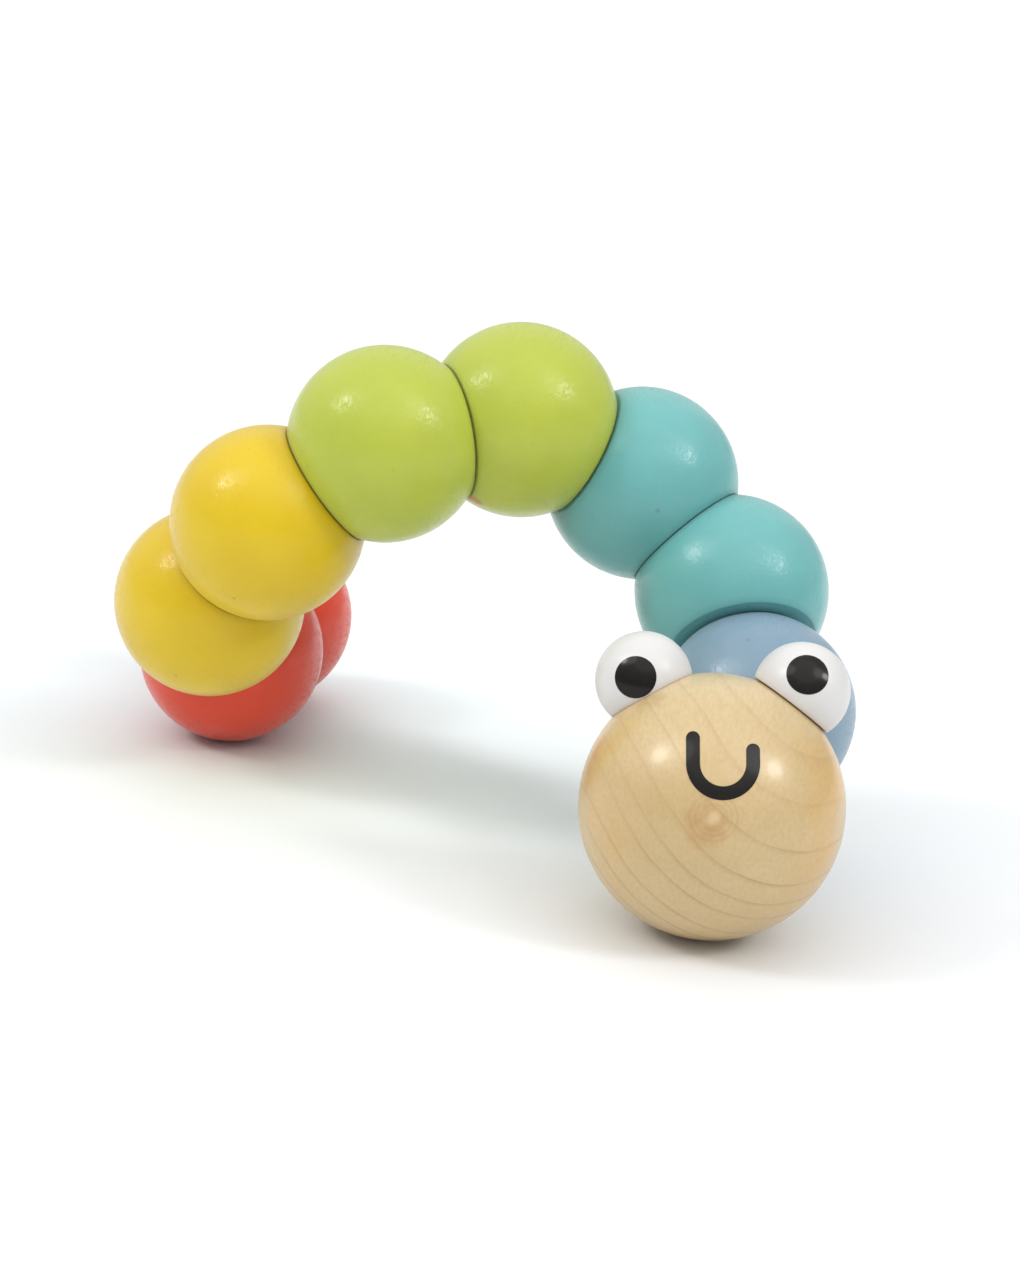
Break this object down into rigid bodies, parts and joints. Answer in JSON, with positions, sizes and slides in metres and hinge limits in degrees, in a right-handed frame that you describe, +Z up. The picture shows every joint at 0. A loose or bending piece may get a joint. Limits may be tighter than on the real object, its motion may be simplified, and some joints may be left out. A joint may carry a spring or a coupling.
{
  "type": "twisting worm toy",
  "caption": "Wooden worm of painted balls with slanted flats and a bare wood head, each ball swivelling on the next so that the chain twists, curls and stands in an arch.",
  "frame": {"origin": "on the floor, under the middle of the bounding box, in the arched pose it stands in", "axes": "+Z up, and the head looks along -Y; the worm's own left is +X"},
  "size_m": [0.1092, 0.1104, 0.0727],
  "materials": {
    "paint_red": "satin lacquer on turned wood",
    "paint_yellow": "satin lacquer on turned wood",
    "paint_green": "satin lacquer on turned wood",
    "paint_teal": "satin lacquer on turned wood",
    "paint_blue": "satin lacquer on turned wood",
    "paint_white": "satin enamel on turned wood",
    "maple_varnished": "satin clear varnish over thin growth lines",
    "print_black": "satin black print",
    "acetal_white": "moulded",
    "nylon_natural": "moulded",
    "beech_bare": "bare turned dowel"
  },
  "bodies": {
    "segment_1": {"ball_1_red": "paint_red", "swivel_pin_1": "acetal_white"},
    "segment_2": {"ball_2_red": "paint_red", "swivel_pin_2": "acetal_white", "swivel_bush_1": "nylon_natural"},
    "segment_3": {"ball_3_yellow": "paint_yellow", "swivel_pin_3": "acetal_white", "swivel_bush_2": "nylon_natural"},
    "segment_4": {"ball_4_yellow": "paint_yellow", "swivel_pin_4": "acetal_white", "swivel_bush_3": "nylon_natural"},
    "segment_5": {"ball_5_green": "paint_green", "swivel_pin_5": "acetal_white", "swivel_bush_4": "nylon_natural"},
    "segment_6": {"ball_6_green": "paint_green", "swivel_pin_6": "acetal_white", "swivel_bush_5": "nylon_natural"},
    "segment_7": {"ball_7_teal": "paint_teal", "swivel_pin_7": "acetal_white", "swivel_bush_6": "nylon_natural"},
    "segment_8": {"ball_8_teal": "paint_teal", "swivel_pin_8": "acetal_white", "swivel_bush_7": "nylon_natural"},
    "segment_9": {"ball_9_blue": "paint_blue", "swivel_pin_9": "acetal_white", "swivel_bush_8": "nylon_natural"},
    "head": {"head": "maple_varnished", "swivel_bush_9": "nylon_natural", "smile": "print_black", "left_eye": "paint_white", "right_eye": "paint_white", "left_pupil": "print_black", "right_pupil": "print_black", "left_eye_dowel": "beech_bare", "right_eye_dowel": "beech_bare"}
  },
  "joints": [
    {"name": "swivel_1", "type": "hinge", "parent": "segment_1", "child": "segment_2", "pos_m": [-0.03867, 0.0309, 0.014], "axis": [-0.0729, -0.9973, 0], "continuous": true},
    {"name": "swivel_2", "type": "hinge", "parent": "segment_2", "child": "segment_3", "pos_m": [-0.04002, 0.01237, 0.02004], "axis": [-0.0587, -0.8069, 0.5878], "continuous": true},
    {"name": "swivel_3", "type": "hinge", "parent": "segment_3", "child": "segment_4", "pos_m": [-0.03609, -0.00091, 0.03383], "axis": [0.4417, -0.4849, 0.7548], "continuous": true},
    {"name": "swivel_4", "type": "hinge", "parent": "segment_4", "child": "segment_5", "pos_m": [-0.02372, -0.00556, 0.04824], "axis": [0.7618, 0.0326, 0.6469], "continuous": true},
    {"name": "swivel_5", "type": "hinge", "parent": "segment_5", "child": "segment_6", "pos_m": [-0.00678, -0.00087, 0.05678], "axis": [0.887, 0.4233, 0.1847], "continuous": true},
    {"name": "swivel_6", "type": "hinge", "parent": "segment_6", "child": "segment_7", "pos_m": [0.01163, 0.00608, 0.05437], "axis": [0.8795, 0.2461, -0.4074], "continuous": true},
    {"name": "swivel_7", "type": "hinge", "parent": "segment_7", "child": "segment_8", "pos_m": [0.02778, 0.00536, 0.04389], "axis": [0.7172, -0.3093, -0.6245], "continuous": true},
    {"name": "swivel_8", "type": "hinge", "parent": "segment_8", "child": "segment_9", "pos_m": [0.03762, -0.00461, 0.03166], "axis": [0.2667, -0.7324, -0.6265], "continuous": true},
    {"name": "swivel_9", "type": "hinge", "parent": "segment_9", "child": "head", "pos_m": [0.03878, -0.02262, 0.02195], "axis": [-0.1796, -0.9493, -0.2581], "continuous": true}
  ]
}
